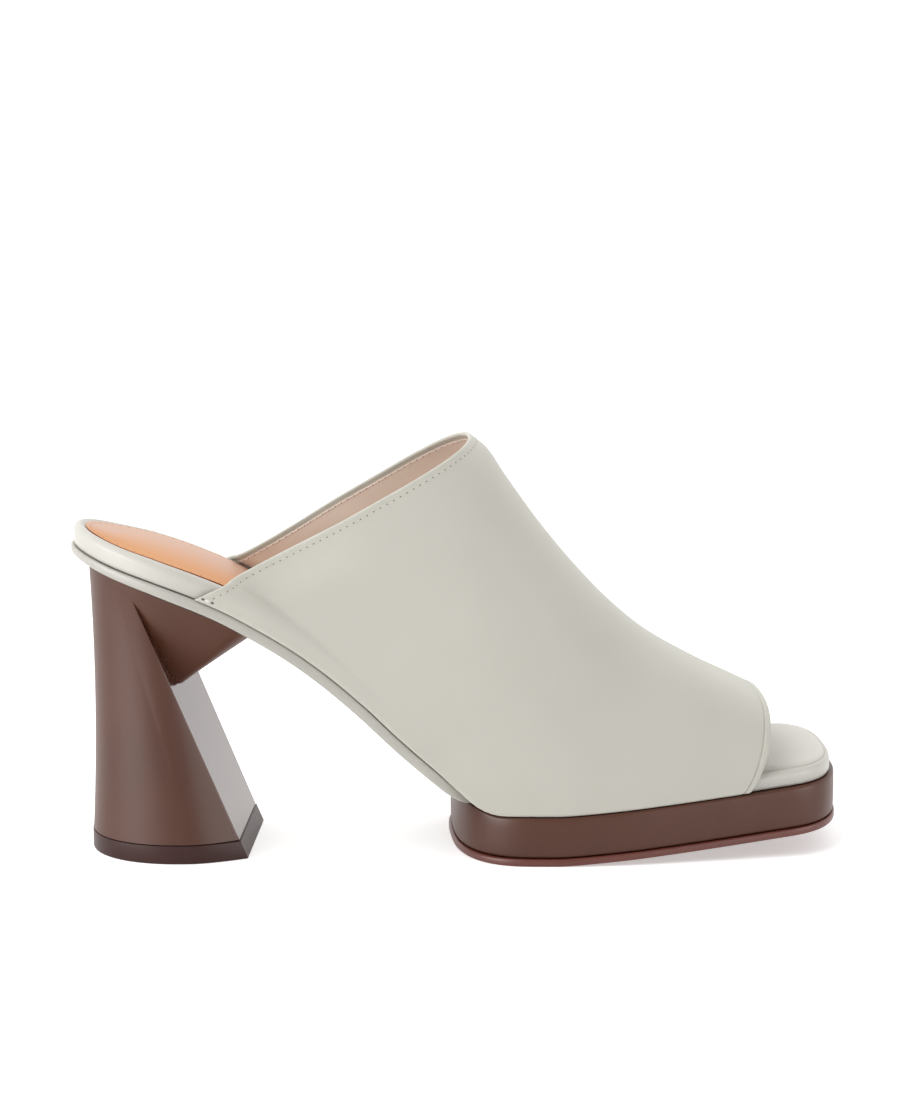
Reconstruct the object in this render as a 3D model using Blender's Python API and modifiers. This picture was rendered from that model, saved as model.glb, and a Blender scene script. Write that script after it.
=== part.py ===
# Women's open-toe platform mule for the right foot, European size 38, one shoe standing empty.
# X runs from the back of the heel (-) to the toe (+), the lateral side faces -Y and Z is up.
import math

import bpy
import numpy as np

for old_object in list(bpy.data.objects):
    bpy.data.objects.remove(old_object, do_unlink=True)

# Overall sizes, in metres
SHOE_LENGTH = 0.2374
SEAT_WIDTH = 0.0575
WAIST_WIDTH = 0.0550
BALL_WIDTH = 0.0733
TOE_WIDTH = 0.0647
SEAT_HEIGHT = 0.0931
COLLAR_HEIGHT = 0.1276
TOE_SPRING = 0.0085

# Thickness of each layer and of the wall
OUTSOLE_THICKNESS = 0.0023
PLATFORM_THICKNESS = 0.0124
SOLE_THICKNESS = 0.0034
SEAT_CUSHION = 0.0064
TOE_CUSHION = 0.0052
SOCK_THICKNESS = 0.0006
UPPER_WALL = 0.0015

# How far each layer stands out beyond the footbed, and the gap between pieces that meet
GAP = 0.0003
SOLE_LEDGE = 0.0010
PLATFORM_LEDGE = 0.0022
WELT_LEDGE = 0.0007
TOE_LEDGE_SHARE = 0.60
SOCK_INSET = 0.0036

# Corner roundings, seen from above and in section
HEEL_ROUND = 0.0340
TOE_ROUND = 0.0160
BREAST_ROUND = 0.0220
SKIVE_ROUND = 0.0200
RIM_RADIUS = 0.0024
SOLE_EDGE_RADIUS = 0.0012
OUTSOLE_EDGE_RADIUS = 0.0006
SOCK_ROUND = 0.0120

# How square the rounded ends are seen from above, 2 being an ellipse
HEEL_SQUARENESS = 2.1
TOE_SQUARENESS = 2.7
BREAST_SQUARENESS = 2.8
SOLE_FRONT_SQUARENESS = 3.0
SOCK_SQUARENESS = 2.2
COLUMN_SQUARENESS = 2.2

# Heel block and its top lift
LIFT_THICKNESS = 0.0057
HEEL_WIDTH = 0.0545
HEEL_FRONT_WIDTH = 0.0440
HEEL_INSET = 0.0053
HEEL_HOLLOW = 0.0012
HEEL_LEAN = math.radians(22.6)
HEEL_TURN = math.radians(7.3)
HEEL_DEPTH = 0.0504
HEEL_ARC = 0.0302
HEEL_SIDE_INSET = 0.0008
WEDGE_TIP_HEIGHT = 0.0530
WEDGE_TIP_WIDTH = 0.0230
WEDGE_TIP_LENGTH = 0.0135
WEDGE_TIP_BULGE = 0.0015
WEDGE_FLARE = 1.2
WEDGE_START = 0.0070
WEDGE_INSET = 0.0006
WEDGE_TOP_LENGTH = 0.0520
WEDGE_CORNER = 0.0060
LIFT_LEDGE = 0.0002
LIFT_CHAMFER = 0.0004

# Stations along the shoe, as shares of its length from the heel
FLAT_END = 0.620
PLATFORM_BACK = 0.496
SOLE_FRONT = 0.524
SOCK_FRONT = 0.430

# Upper
TAIL_TUCK = 0.0110
MEDIAL_LAG = 0.0025
HUG_EASE = 0.0004
HUG_FALL = 1.6
HUG_SOFTNESS = 0.0040
EDGE_BOW = 0.0018
CROWN_SHIFT = 0.0035

# Plan of the footbed: at each station the named width and the shares of half of it on each side
PLAN_COLUMNS = ("station", "width", "lateral", "medial")
PLAN_ROWS = (
    (0.000, SEAT_WIDTH, 0.970, 0.970),
    (0.105, SEAT_WIDTH, 0.985, 0.985),
    (0.155, SEAT_WIDTH, 1.000, 0.990),
    (0.227, SEAT_WIDTH, 1.005, 0.970),
    (0.303, WAIST_WIDTH, 1.025, 0.955),
    (0.387, WAIST_WIDTH, 1.050, 0.950),
    (0.455, WAIST_WIDTH, 1.120, 1.030),
    (0.526, BALL_WIDTH, 0.920, 0.890),
    (0.598, BALL_WIDTH, 0.980, 0.975),
    (0.648, BALL_WIDTH, 1.000, 1.000),
    (0.703, BALL_WIDTH, 0.994, 1.006),
    (0.766, BALL_WIDTH, 0.958, 1.000),
    (0.829, TOE_WIDTH, 1.032, 1.088),
    (0.893, TOE_WIDTH, 0.974, 1.026),
    (0.939, TOE_WIDTH, 0.934, 0.975),
    (1.000, TOE_WIDTH, 0.880, 0.910),
)

# Side profile of the sole's underside: its rise from the platform up to the heel seat
PROFILE_COLUMNS = ("station", "rise")
PROFILE_ROWS = (
    (0.000, 1.000),
    (0.046, 0.945),
    (0.103, 0.883),
    (0.181, 0.784),
    (0.227, 0.707),
    (0.273, 0.618),
    (0.320, 0.509),
    (0.366, 0.386),
    (0.410, 0.257),
    (0.456, 0.135),
    (0.486, 0.062),
    (0.513, 0.018),
    (0.540, 0.000),
)

# Thickness of the sole, thinner at the back and skived away where it runs onto the platform
SKIVE_COLUMNS = ("station", "share")
SKIVE_ROWS = (
    (0.000, 0.760),
    (0.060, 0.860),
    (0.160, 1.000),
    (0.440, 1.000),
    (0.480, 0.930),
    (0.504, 0.600),
    (0.520, 0.240),
    (0.532, 0.050),
    (0.542, 0.000),
)

# Sections of the upper from the collar to the toe opening. Each is a plane through a base
# station on both feather edges and a crest point above them.
SECTION_COLUMNS = ("base", "crest", "rise", "upright", "crown", "side", "tuck", "shift", "bow")
SECTION_ROWS = (
    (0.163, 0.519, 1.000, 0.930, 6.0, 2.2, 0.80, 0.30, 0.40),
    (0.195, 0.541, 0.962, 0.936, 5.8, 2.2, 0.50, 0.45, 0.25),
    (0.230, 0.566, 0.884, 0.945, 5.6, 2.2, 0.20, 0.60, 0.15),
    (0.307, 0.610, 0.754, 0.955, 5.0, 2.3, 0.04, 0.80, 0.30),
    (0.391, 0.658, 0.630, 0.965, 4.6, 2.4, 0.00, 1.00, 0.50),
    (0.480, 0.707, 0.521, 0.975, 4.2, 2.5, 0.00, 1.10, 0.65),
    (0.572, 0.758, 0.431, 0.985, 4.0, 2.7, 0.00, 1.10, 0.80),
    (0.669, 0.808, 0.366, 0.990, 4.2, 3.0, 0.00, 1.05, 0.90),
    (0.770, 0.857, 0.310, 0.995, 4.6, 3.4, 0.00, 1.00, 1.00),
    (0.869, 0.906, 0.266, 1.000, 5.0, 2.4, 0.00, 0.40, 0.75),
)

# Mesh densities
ALONG = 34
CORNER_STEPS = 7
CORNER_START = math.radians(3)
UPPER_ROWS = 24
UPPER_POINTS = 45
PATH_STEPS = 260
EDGE_CROWDING = 0.5
CREST_CROWDING = 2.2
ARC_POINTS = 25
COLUMN_LEVELS = 9


def smooth_curve(rows, columns, across, along="station"):
    """Monotone cubic through one column of a table, straight beyond its ends."""
    xs = np.array([row[columns.index(along)] for row in rows], float)
    ys = np.array([row[columns.index(across)] for row in rows], float)
    step = np.diff(xs)
    slope = np.diff(ys) / step
    tangent = np.concatenate(([slope[0]], np.zeros(len(xs) - 2), [slope[-1]]))
    for i in range(1, len(xs) - 1):
        if slope[i - 1] * slope[i] > 0:
            near, far = 2 * step[i] + step[i - 1], step[i] + 2 * step[i - 1]
            tangent[i] = (near + far) / (near / slope[i - 1] + far / slope[i])

    def value(x):
        i = int(np.clip(np.searchsorted(xs, x) - 1, 0, len(step) - 1))
        if x <= xs[0]:
            return ys[0] + tangent[0] * (x - xs[0])
        if x >= xs[-1]:
            return ys[-1] + tangent[-1] * (x - xs[-1])
        t = (x - xs[i]) / step[i]
        start = ys[i] * (1 + 2 * t) * (1 - t) ** 2 + tangent[i] * step[i] * t * (1 - t) ** 2
        end = ys[i + 1] * (3 - 2 * t) * t ** 2 - tangent[i + 1] * step[i] * (1 - t) * t ** 2
        return float(start + end)

    return value


def ease(x, start, end):
    """Goes smoothly from 0 at start to 1 at end."""
    t = min(max((x - start) / (end - start), 0.0), 1.0)
    return t * t * (3 - 2 * t)


def larger(a, b, softness):
    """The larger of two values, rounded off where they cross."""
    return (a + b + math.hypot(a - b, softness)) / 2


def station_of(x):
    return (x + SHOE_LENGTH / 2) / SHOE_LENGTH


def place_of(station):
    return station * SHOE_LENGTH - SHOE_LENGTH / 2


def with_half_widths(rows):
    """The plan's rows with each share turned into a half width in metres."""
    return [(s, width, width / 2 * lateral, width / 2 * medial) for s, width, lateral, medial in rows]


plan_rows = with_half_widths(PLAN_ROWS)
plan_side = {
    -1: smooth_curve(plan_rows, PLAN_COLUMNS, "lateral"),
    1: smooth_curve(plan_rows, PLAN_COLUMNS, "medial"),
}
profile_rise = smooth_curve(PROFILE_ROWS, PROFILE_COLUMNS, "rise")
skive_share = smooth_curve(SKIVE_ROWS, SKIVE_COLUMNS, "share")

OUTSOLE_LEDGE = PLATFORM_LEDGE + WELT_LEDGE
UPPER_OUT = GAP + UPPER_WALL
SOCK_RISE = GAP + SOCK_THICKNESS + HUG_EASE
FOOTBED_BACK = -SHOE_LENGTH / 2 + SOLE_LEDGE
FOOTBED_FRONT = SHOE_LENGTH / 2 - OUTSOLE_LEDGE * TOE_LEDGE_SHARE
PLATFORM_TOP = OUTSOLE_THICKNESS + GAP + PLATFORM_THICKNESS


def toe_rise(x):
    """Toe spring of the outsole, nothing over the flat spot under the ball."""
    ahead = max(station_of(x) - FLAT_END, 0.0) / (1.0 - FLAT_END)
    return TOE_SPRING * ahead ** 1.2


def underside(x):
    """Height of the sole's underside, which in front lies on the platform."""
    station = station_of(x)
    last = PROFILE_ROWS[-1][0]
    climb = profile_rise(station) if station < last else 0.0
    return PLATFORM_TOP + GAP + climb * (SEAT_HEIGHT - PLATFORM_TOP - GAP) + toe_rise(x)


def sole_thickness(x):
    station = station_of(x)
    return SOLE_THICKNESS * max(skive_share(station), 0.0) if station < SKIVE_ROWS[-1][0] else 0.0


def feather(x):
    """Height above the sole's underside where footbed and upper begin."""
    return sole_thickness(x) + GAP * (1.0 - ease(station_of(x), SOLE_FRONT + 0.004, SOLE_FRONT + 0.04))


def cushion(x):
    return SEAT_CUSHION + (TOE_CUSHION - SEAT_CUSHION) * ease(station_of(x), 0.45, 0.85)


def profile_length(x):
    """Length of the sole's underside for one unit along X."""
    step = SHOE_LENGTH / 1000
    return math.hypot(1.0, (underside(x + step) - underside(x - step)) / (2 * step))


def on_profile(x, height):
    """The point over X that lies at a height square to the sole's underside, as X and Z."""
    return x, underside(x) + height * profile_length(x)


def end_round(distance, radius, power):
    """Share of the full width left at a distance from a rounded end."""
    if distance >= radius:
        return 1.0
    return max(1.0 - (1.0 - max(distance, 0.0) / radius) ** power, 0.0) ** (1.0 / power)


def half_width(x, side, margin=0.0, back=None, front=None):
    """Half width of a layer that stands out by margin, with round ends where they are given."""
    width = plan_side[side](station_of(x)) + margin
    if back:
        width *= end_round(x - back[0], back[1], back[2])
    if front:
        width *= end_round(front[0] - x, front[1], front[2])
    return width


def end_stations(tip, radius, inward):
    """Stations crowding toward a rounded tip, the first a little inside it."""
    turn = math.pi / 2 - CORNER_START
    angles = [CORNER_START + turn * i / CORNER_STEPS for i in range(CORNER_STEPS)]
    return [tip + inward * radius * (1 - math.cos(a)) for a in angles]


def layer_outline(margin, back, front):
    """Lateral and medial points of a layer, paired from its back to its front."""
    first, last = end_stations(back[0], back[1], 1), end_stations(front[0], front[1], -1)
    start, stop = back[0] + back[1], front[0] - front[1]
    middle = [start + (stop - start) * i / ALONG for i in range(ALONG + 1)]
    stations = first + middle + last[::-1]
    return [[(x, side * half_width(x, side, margin, back, front)) for x in stations] for side in (-1, 1)]


def link_mesh(name, vertices, faces, material, collection, smooth_angle=32.0):
    mesh = bpy.data.meshes.new(name)
    mesh.from_pydata(vertices, [], faces)
    mesh.validate()
    mesh.shade_smooth()
    mesh.set_sharp_from_angle(angle=math.radians(smooth_angle))
    mesh.materials.append(material)
    shape = bpy.data.objects.new(name, mesh)
    collection.objects.link(shape)
    return shape


def stacked(name, levels, place, material, collection):
    """A closed slab through paired outlines stacked from the bottom to the top.

    Each level is the pair of outlines and a function for the height at each X."""
    pairs = len(levels[0][0][0])
    vertices, faces = [], []
    for (lateral, medial), height in levels:
        for x, y in lateral + medial[::-1]:
            px, pz = place(x, height(x))
            vertices.append((px, y, pz))
    ring = 2 * pairs
    for level in range(len(levels) - 1):
        low, high = level * ring, (level + 1) * ring
        for i in range(ring):
            j = (i + 1) % ring
            faces.append((low + i, low + j, high + j, high + i))
    top = (len(levels) - 1) * ring
    for i in range(pairs - 1):
        opposite = ring - 1 - i
        faces.append((i, opposite, opposite - 1, i + 1))
        faces.append((top + i, top + i + 1, top + opposite - 1, top + opposite))
    return link_mesh(name, vertices, faces, material, collection)


def new_material(name, colour, roughness, metallic=0.0):
    material = bpy.data.materials.new(name)
    material.use_nodes = True
    shader = material.node_tree.nodes["Principled BSDF"]
    shader.inputs["Base Color"].default_value = (*colour, 1.0)
    shader.inputs["Roughness"].default_value = roughness
    shader.inputs["Metallic"].default_value = metallic
    material.diffuse_color = (*colour, 1.0)
    return material


def new_collection(name):
    collection = bpy.data.collections.new(name)
    bpy.context.scene.collection.children.link(collection)
    return collection


shoe = new_collection("platform_mule")
cutters = new_collection("mule_cutters")


def ends(margin):
    """Rounded ends of a layer that stands out by margin all round."""
    back = (FOOTBED_BACK - margin, HEEL_ROUND + margin, HEEL_SQUARENESS)
    front = (FOOTBED_FRONT + margin * TOE_LEDGE_SHARE, TOE_ROUND + margin, TOE_SQUARENESS)
    return back, front


def build_outsole():
    """Thin outsole under the platform, flat under the ball, with a ledge that shows all round."""
    breast = place_of(PLATFORM_BACK)

    def outline(margin):
        back = (breast - (margin - PLATFORM_LEDGE), BREAST_ROUND, BREAST_SQUARENESS)
        return layer_outline(margin, back, ends(margin)[1])

    foot = OUTSOLE_LEDGE - OUTSOLE_EDGE_RADIUS
    levels = [
        (outline(foot), toe_rise),
        (outline(OUTSOLE_LEDGE), lambda x: toe_rise(x) + OUTSOLE_EDGE_RADIUS),
        (outline(OUTSOLE_LEDGE), lambda x: toe_rise(x) + OUTSOLE_THICKNESS - OUTSOLE_EDGE_RADIUS),
        (outline(foot), lambda x: toe_rise(x) + OUTSOLE_THICKNESS),
    ]
    material = new_material("outsole_oxblood", (0.16, 0.045, 0.032), 0.45)
    return stacked("outsole", levels, lambda x, z: (x, z), material, shoe)


def build_platform():
    """Leather-covered platform whose top follows the sole's underside at its back."""
    breast = place_of(PLATFORM_BACK)
    back = (breast, BREAST_ROUND, BREAST_SQUARENESS)
    outline = layer_outline(PLATFORM_LEDGE, back, ends(PLATFORM_LEDGE)[1])
    levels = [
        (outline, lambda x: toe_rise(x) + OUTSOLE_THICKNESS + GAP),
        (outline, lambda x: underside(x) - GAP),
    ]
    material = new_material("platform_brown_leather", (0.115, 0.05, 0.03), 0.35)
    return stacked("platform", levels, lambda x, z: (x, z), material, shoe)


def build_sole():
    """Covered sole strip from the heel seat down the waist, skived onto the platform."""
    front = (place_of(SOLE_FRONT), SKIVE_ROUND, SOLE_FRONT_SQUARENESS)

    def outline(margin):
        return layer_outline(margin, ends(margin)[0], front)

    levels = [
        (outline(SOLE_LEDGE - SOLE_EDGE_RADIUS), lambda x: 0.0),
        (outline(SOLE_LEDGE - 0.3 * SOLE_EDGE_RADIUS), lambda x: 0.1 * sole_thickness(x)),
        (outline(SOLE_LEDGE), lambda x: 0.35 * sole_thickness(x)),
        (outline(SOLE_LEDGE), lambda x: sole_thickness(x)),
    ]
    material = new_material("sole_cover_off_white", (0.53, 0.52, 0.46), 0.5)
    return stacked("sole", levels, on_profile, material, shoe)


def build_footbed():
    """Leather-wrapped footbed over its whole length, with a rolled rim."""
    def outline(margin):
        return layer_outline(margin, *ends(margin))

    levels = [
        (outline(0.0), feather),
        (outline(0.0), lambda x: feather(x) + cushion(x) - RIM_RADIUS),
    ]
    for turn in (30, 60, 90):
        drop = 1 - math.sin(math.radians(turn))
        inset = 1 - math.cos(math.radians(turn))
        levels.append((
            outline(-RIM_RADIUS * inset),
            lambda x, drop=drop: feather(x) + cushion(x) - RIM_RADIUS * drop,
        ))
    material = new_material("footbed_off_white_leather", (0.56, 0.55, 0.48), 0.45)
    return stacked("footbed", levels, on_profile, material, shoe)


def build_sock():
    """Thin heel sock on the footbed, its front hidden under the upper."""
    front = (place_of(SOCK_FRONT), SOCK_ROUND, SOCK_SQUARENESS)

    def outline(margin):
        return layer_outline(margin, ends(margin)[0], front)

    levels = [
        (outline(-SOCK_INSET), lambda x: feather(x) + cushion(x) + GAP),
        (outline(-SOCK_INSET), lambda x: feather(x) + cushion(x) + GAP + SOCK_THICKNESS),
    ]
    material = new_material("sock_orange_leather", (0.80, 0.42, 0.20), 0.4)
    return stacked("heel_sock", levels, on_profile, material, shoe)


section_value = {
    name: smooth_curve([(i / (len(SECTION_ROWS) - 1),) + row for i, row in enumerate(SECTION_ROWS)],
                       ("along",) + SECTION_COLUMNS, name, along="along")
    for name in SECTION_COLUMNS
}


def hug_width(x, side, z):
    """Least half width at which the upper clears the footbed's rim and the sock on it."""
    radius = RIM_RADIUS + SOCK_RISE
    reach = radius + UPPER_OUT
    height = (z - underside(x)) / profile_length(x)
    above = height - (feather(x) + cushion(x) - RIM_RADIUS)
    edge = half_width(x, side)
    if above <= 0.0:
        return edge + UPPER_OUT
    if above < reach:
        return edge - radius + math.sqrt(reach ** 2 - above ** 2)
    return edge - radius - HUG_FALL * (above - reach)


def section_points(u, count):
    """One section of the upper, from the lateral feather edge over the crest to the medial one."""
    row = {name: value(u) for name, value in section_value.items()}
    crest_x = place_of(row["crest"])
    crest_z = PLATFORM_TOP + row["rise"] * (COLLAR_HEIGHT - PLATFORM_TOP)

    def point(p, side):
        base_x = place_of(row["base"]) + max(side, 0) * MEDIAL_LAG * row["tuck"]
        foot_x, foot_z = on_profile(base_x, feather(base_x))
        run, climb = crest_x - foot_x, crest_z - foot_z
        length = math.hypot(run, climb)
        bow = EDGE_BOW * row["bow"] * 27 / 4 * p * (1 - p) ** 2
        x = foot_x + run * p + climb / length * bow
        z = foot_z + climb * p - run / length * bow
        spread = half_width(x, side, UPPER_OUT)
        spread *= 1 - (1 - row["upright"]) * ease(p, 0.15, 0.6)
        spread -= TAIL_TUCK * row["tuck"] * (1 - ease(p, 0.18, 0.56))
        spread *= max(1 - p ** row["crown"], 0.0) ** (1 / row["side"])
        spread = larger(spread, hug_width(x, side, z), HUG_SOFTNESS * row["tuck"])
        return (x, side * spread + CROWN_SHIFT * row["shift"] * p * p, z)

    shares = [1 - (1 - i / PATH_STEPS) ** CREST_CROWDING for i in range(PATH_STEPS + 1)]
    path = np.array([point(p, -1) for p in shares] + [point(p, 1) for p in shares[-2::-1]])
    walked = np.concatenate(([0.0], np.cumsum(np.linalg.norm(np.diff(path, axis=0), axis=1))))
    even = np.linspace(0.0, 1.0, count)
    wanted = walked[-1] * (even - EDGE_CROWDING * np.sin(2 * np.pi * even) / (2 * np.pi))
    return np.stack([np.interp(wanted, walked, path[:, axis]) for axis in range(3)], axis=1)


def build_upper():
    """The upper as an open surface between collar and toe opening, thickened inward."""
    vertices, faces = [], []
    for i in range(UPPER_ROWS):
        for point in section_points(i / (UPPER_ROWS - 1), UPPER_POINTS):
            vertices.append(tuple(point))
    for i in range(UPPER_ROWS - 1):
        for j in range(UPPER_POINTS - 1):
            corner = i * UPPER_POINTS + j
            faces.append((corner, corner + UPPER_POINTS, corner + UPPER_POINTS + 1, corner + 1))
    material = new_material("upper_off_white_leather", (0.60, 0.57, 0.50), 0.45)
    upper = link_mesh("upper", vertices, faces, material, shoe)
    wall = upper.modifiers.new("wall", "SOLIDIFY")
    wall.thickness = UPPER_WALL
    wall.offset = -1.0
    wall.use_even_offset = True
    wall.use_rim = True
    return upper


# Axis of the heel block, turned so that its medial front corner stands further forward
HEEL_BACK = -SHOE_LENGTH / 2 + HEEL_INSET
HEEL_FRONT = HEEL_BACK + HEEL_DEPTH


def front_plane_x(y, z):
    """The heel's leaning front face."""
    return HEEL_FRONT + y * math.tan(HEEL_TURN) - z * math.tan(HEEL_LEAN)


def build_heel_column():
    """Lower heel body, ruled from the lift up to the sole, its front cut by the leaning plane."""
    rows = []
    for level in range(COLUMN_LEVELS):
        share = level / (COLUMN_LEVELS - 1)
        ring = []
        for i in range(ARC_POINTS):
            turn = math.pi * i / (ARC_POINTS - 1)
            ring.append(heel_column_point(turn, share))
        rows.append(ring)
    return rows


def heel_side(turn):
    return -1 if turn < math.pi / 2 else 1


def lower_heel_point(turn, margin=0.0, z=0.0):
    """A point of the D at the lift: turn runs from the lateral front corner round the back."""
    side = heel_side(turn)
    away = abs(math.cos(turn))
    deep = math.sin(turn)
    half, front_half = HEEL_WIDTH / 2 + margin, HEEL_FRONT_WIDTH / 2 + margin
    centre = HEEL_BACK + HEEL_ARC
    if deep > 0.5:
        angle = math.asin((deep - 0.5) / 0.5)
        y = side * half * math.cos(angle) ** (2 / COLUMN_SQUARENESS)
        x = centre - (HEEL_ARC + margin) * math.sin(angle) ** (2 / COLUMN_SQUARENESS)
        return x, y
    ahead = 1 - deep / 0.5
    y = side * (half - (half - front_half) * ahead ** 1.6)
    front = front_plane_x(y, z) + margin
    return centre + (front - centre) * ahead, y


def upper_heel_point(turn):
    """The matching point under the sole, on the seat's own outline."""
    side = heel_side(turn)
    deep = math.sin(turn)
    margin = -HEEL_SIDE_INSET
    back = ends(margin)[0]
    tip = back[0] + HEEL_INSET - SOLE_LEDGE - HEEL_SIDE_INSET
    corner = top_front_x(side)
    x = corner - (corner - tip) * deep ** 1.25
    y = side * half_width(x, side, margin, (tip, back[1] - HEEL_SIDE_INSET, back[2]))
    return x, y


def top_front_x(side):
    """Where the leaning front plane meets the sole at the heel's side."""
    x = HEEL_BACK + 0.012
    for _ in range(40):
        y = side * half_width(x, side, -HEEL_SIDE_INSET, ends(0.0)[0])
        x = 0.5 * x + 0.5 * front_plane_x(y, underside(x) - GAP)
    return x


def heel_column_point(turn, share):
    x0, y0 = lower_heel_point(turn, z=LIFT_THICKNESS + GAP)
    x1, y1 = upper_heel_point(turn)
    low, high = LIFT_THICKNESS + GAP, underside(x1) - GAP
    draw = HEEL_HOLLOW * 4 * share * (1 - share) * math.sin(turn)
    x = x0 + (x1 - x0) * share + draw
    y = y0 + (y1 - y0) * share
    return x, y, low + (high - low) * share


def ring_body(name, rings, material, collection):
    """A closed body through equal rings, with its first and last ring capped in strips."""
    count = len(rings[0])
    vertices = [point for ring in rings for point in ring]
    faces = []
    for level in range(len(rings) - 1):
        low, high = level * count, (level + 1) * count
        for i in range(count):
            j = (i + 1) % count
            faces.append((low + i, high + i, high + j, low + j))
    top = (len(rings) - 1) * count
    for i in range(count // 2):
        a, b = i, i + 1
        c, d = count - 1 - i, count - 2 - i
        if b == d:
            faces.append((a, b, c))
            faces.append((top + a, top + c, top + b))
        elif b < d:
            faces.append((a, b, d, c))
            faces.append((top + a, top + c, top + d, top + b))
    return link_mesh(name, vertices, faces, material, collection)


def wedge_rings():
    """Rings of the tapered body in front of the column, from the sole down to its tip."""
    tip_z = WEDGE_TIP_HEIGHT
    rings = []
    back_x = HEEL_BACK + WEDGE_START
    front_x = HEEL_BACK + WEDGE_TOP_LENGTH
    for share in (0.0, 0.25, 0.5, 0.75, 1.0):
        ring = []
        for side, along, across in wedge_plan():
            top_x = back_x + (front_x - back_x) * along
            top_y = side * across * (half_width(top_x, side, -HEEL_SIDE_INSET, ends(0.0)[0]) - WEDGE_INSET)
            top_x += top_y * math.tan(HEEL_TURN) * along
            top_z = underside(top_x) - GAP
            tip_y = side * across * WEDGE_TIP_WIDTH / 2
            tip_front = front_plane_x(tip_y, tip_z) + WEDGE_TIP_BULGE
            tip_x = tip_front - WEDGE_TIP_LENGTH * (1 - along)
            ring.append((
                tip_x + (top_x - tip_x) * share,
                tip_y + (top_y - tip_y) * share ** WEDGE_FLARE,
                tip_z + (top_z - tip_z) * share,
            ))
        rings.append(ring)
    return rings


def wedge_plan():
    """Plan of the wedge as side, share of its length and share of its width, front corners round."""
    corner = WEDGE_CORNER / WEDGE_TOP_LENGTH
    half = [(0.0, 0.90), (0.15, 0.97), (0.3, 1.0), (0.5, 1.0), (0.7, 1.0), (0.82, 1.0)]
    start = 1 - corner
    half.append((start, 1.0))
    for turn in (22.5, 45, 67.5, 90):
        angle = math.radians(turn)
        half.append((start + corner * math.sin(angle), 1 - 0.22 * (1 - math.cos(angle))))
    half.append((1.0, 0.4))
    lateral = [(-1, along, across) for along, across in half]
    medial = [(1, along, across) for along, across in half[::-1]]
    return lateral + medial


def build_heel():
    """Heel block: the leaning column with the tapered wedge joined under the seat."""
    material = new_material("heel_brown_leather", (0.115, 0.05, 0.03), 0.32)
    column = ring_body("heel_block", build_heel_column(), material, shoe)
    wedge = ring_body("heel_wedge", wedge_rings(), material, cutters)
    wedge.hide_render = True
    wedge.display_type = "WIRE"
    join = column.modifiers.new("wedge", "BOOLEAN")
    join.operation = "UNION"
    join.solver = "EXACT"
    join.object = wedge
    return column


def build_lift():
    """Top lift under the heel, flat on the floor, its front leaning like the heel's."""
    rings = []
    for margin, z in (
        (LIFT_LEDGE - LIFT_CHAMFER, 0.0),
        (LIFT_LEDGE, LIFT_CHAMFER),
        (LIFT_LEDGE, LIFT_THICKNESS),
    ):
        ring = []
        for i in range(ARC_POINTS):
            x, y = lower_heel_point(math.pi * i / (ARC_POINTS - 1), margin, z)
            ring.append((x, y, z))
        rings.append(ring)
    material = new_material("lift_dark_rubber", (0.06, 0.03, 0.028), 0.5)
    return ring_body("top_lift", rings, material, shoe)


build_outsole()
build_platform()
build_sole()
build_footbed()
build_sock()
build_upper()
build_heel()
build_lift()
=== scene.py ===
import math

import bpy
import numpy as np
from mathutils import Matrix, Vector


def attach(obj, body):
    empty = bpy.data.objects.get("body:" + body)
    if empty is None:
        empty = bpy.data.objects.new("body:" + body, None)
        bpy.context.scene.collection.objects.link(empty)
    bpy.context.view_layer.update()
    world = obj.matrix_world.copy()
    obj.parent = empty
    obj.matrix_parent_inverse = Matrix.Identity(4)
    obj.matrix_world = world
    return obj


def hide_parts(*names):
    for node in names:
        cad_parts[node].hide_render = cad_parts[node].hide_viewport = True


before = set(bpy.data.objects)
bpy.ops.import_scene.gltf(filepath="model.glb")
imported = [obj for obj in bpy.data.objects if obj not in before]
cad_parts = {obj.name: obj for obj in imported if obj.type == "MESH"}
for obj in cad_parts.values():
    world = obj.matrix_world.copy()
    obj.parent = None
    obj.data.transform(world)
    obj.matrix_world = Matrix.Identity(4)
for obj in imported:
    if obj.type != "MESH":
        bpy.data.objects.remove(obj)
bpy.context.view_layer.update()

millimetre = 0.001

# The solids' own driving sizes
shoe = {
    "length": 0.2374,
    "seatWidth": 0.0575,
    "waistWidth": 0.0550,
    "ballWidth": 0.0733,
    "toeWidth": 0.0647,
    "seatHeight": 0.0931,
    "collarHeight": 0.1276,
    "toeSpring": 0.0085,
    "outsole": 0.0023,
    "platform": 0.0124,
    "sole": 0.0034,
    "seatCushion": 0.0064,
    "toeCushion": 0.0052,
    "wall": 0.0015,
    "gap": 0.0003,
    "flatEnd": 0.620,
    "springPower": 1.2,
    "platformBack": 0.496,
    "soleFront": 0.524,
    "featherRun": (0.004, 0.040),
    "cushionRun": (0.45, 0.85),
    "sockFront": 0.430,
}
ledge = {"sole": 0.0010, "platform": 0.0022, "outsole": 0.0029, "toeShare": 0.60, "sockInset": 0.0036}
corner = {"heel": 0.0340, "toe": 0.0160, "breast": 0.0220, "skive": 0.0200, "sock": 0.0120}
squareness = {"heel": 2.1, "toe": 2.7, "breast": 2.8, "skive": 3.0, "sock": 2.2, "column": 2.2}
edge = {"rim": 0.0024, "sole": 0.0012, "outsole": 0.0006}

seat, waist, ball, toe = (shoe[k] for k in ("seatWidth", "waistWidth", "ballWidth", "toeWidth"))

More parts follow.
